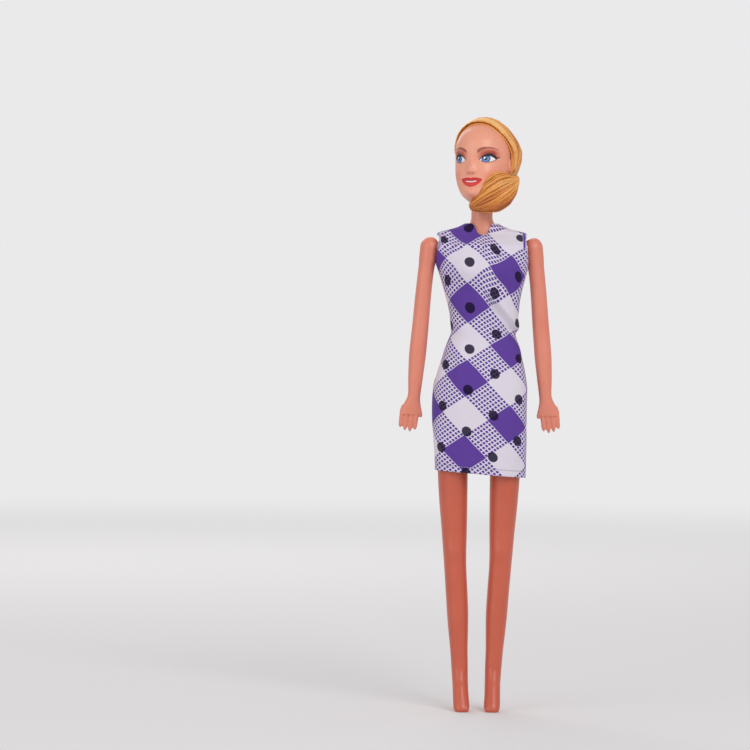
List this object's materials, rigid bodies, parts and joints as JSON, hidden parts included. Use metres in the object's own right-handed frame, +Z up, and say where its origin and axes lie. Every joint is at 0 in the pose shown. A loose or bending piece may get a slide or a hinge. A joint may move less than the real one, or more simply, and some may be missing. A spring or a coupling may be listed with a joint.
{
  "type": "fashion doll",
  "caption": "Slim fashion doll on pointed toes in a sleeveless sheath dress, head turned, hair swept to one side; head, arms and legs turn on snap studs.",
  "frame": {"origin": "on the ground under the middle of the doll's outline, at the level of the toes", "axes": "+Z up, the doll's chest faces -Y, its left side is +X"},
  "size_m": [0.0702, 0.0334, 0.2575],
  "materials": {
    "body_vinyl": "satin skin-toned hard plastic",
    "head_vinyl": "satin soft vinyl with a painted face",
    "arm_vinyl": "satin soft vinyl",
    "leg_vinyl": "glossier tan vinyl",
    "hair": "silky golden blonde fibre",
    "elastic": "plain rubber",
    "stud_plastic": "natural moulded plastic",
    "print_cotton": "white cotton printed with purple checks and dark dots",
    "closure_tape": "white hook and loop tape"
  },
  "bodies": {
    "torso": {"torso_front": "body_vinyl", "torso_back": "body_vinyl", "neck_knob": "stud_plastic", "dress_front": "print_cotton", "dress_back_left": "print_cotton", "dress_back_right": "print_cotton", "closure_hook_tape": "closure_tape", "closure_loop_tape": "closure_tape"},
    "head": {"head_shell": "head_vinyl", "hair_cap": "hair", "hair_tail": "hair", "hair_band": "elastic"},
    "left_arm": {"left_arm": "arm_vinyl", "left_shoulder_stud": "stud_plastic"},
    "right_arm": {"right_arm": "arm_vinyl", "right_shoulder_stud": "stud_plastic"},
    "left_leg": {"left_leg": "leg_vinyl", "left_hip_stud": "stud_plastic"},
    "right_leg": {"right_leg": "leg_vinyl", "right_hip_stud": "stud_plastic"}
  },
  "joints": [
    {"name": "neck_swivel", "type": "hinge", "parent": "torso", "child": "head", "pos_m": [0, -0.00133, 0.217], "axis": [0, 0, 1], "continuous": true},
    {"name": "left_shoulder", "type": "hinge", "parent": "torso", "child": "left_arm", "pos_m": [0.0184, -0.00133, 0.2003], "axis": [-1, 0, 0], "continuous": true},
    {"name": "right_shoulder", "type": "hinge", "parent": "torso", "child": "right_arm", "pos_m": [-0.0184, -0.00133, 0.2003], "axis": [-1, 0, 0], "continuous": true},
    {"name": "left_hip", "type": "hinge", "parent": "torso", "child": "left_leg", "pos_m": [0.0046, -0.00133, 0.131], "axis": [-1, 0, 0], "range_deg": [-20, 90], "deforming": ["dress_front", "dress_back_left", "dress_back_right"]},
    {"name": "right_hip", "type": "hinge", "parent": "torso", "child": "right_leg", "pos_m": [-0.0046, -0.00133, 0.131], "axis": [-1, 0, 0], "range_deg": [-20, 90], "deforming": ["dress_front", "dress_back_left", "dress_back_right"]}
  ]
}
